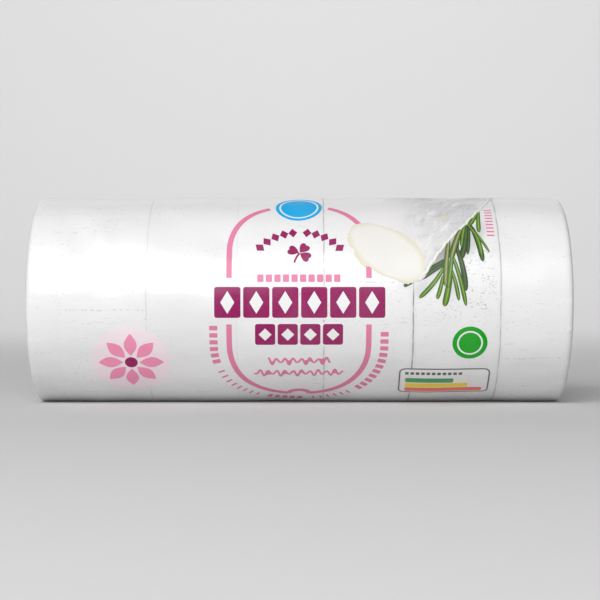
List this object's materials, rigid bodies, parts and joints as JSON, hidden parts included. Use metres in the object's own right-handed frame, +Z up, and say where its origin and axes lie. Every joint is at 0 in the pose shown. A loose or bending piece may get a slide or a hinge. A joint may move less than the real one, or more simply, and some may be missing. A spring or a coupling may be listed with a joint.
{
  "type": "film-wrapped goat cheese log",
  "caption": "Short soft goat cheese log lying on its side, shut in white printed film that is lapped along the back and pleated over both ends.",
  "frame": {"origin": "on the surface that the log lies on, under the middle of the log", "axes": "+X along the log's axis, to the right as the printed front is seen; the printed front faces -Y; +Z up"},
  "size_m": [0.114, 0.0452, 0.0448],
  "materials": {
    "film": "white printed film, satin, with a faint pale wood pattern",
    "ink_deep_magenta": "deep magenta print on the film",
    "ink_pink": "pink print on the film",
    "ink_pale_pink": "pale pink print on the film",
    "ink_blue": "light blue print on the film",
    "ink_green": "green print on the film",
    "ink_cream": "cream and white print of the cheese on the film",
    "ink_leaf_green": "leaf green print of the herb on the film",
    "ink_yellow": "yellow print on the film",
    "ink_red": "orange red print on the film",
    "ink_white": "white print on the film",
    "ink_grey": "dark grey print on the film"
  },
  "bodies": {
    "root": {"wrapped_log": "film"}
  },
  "joints": []
}
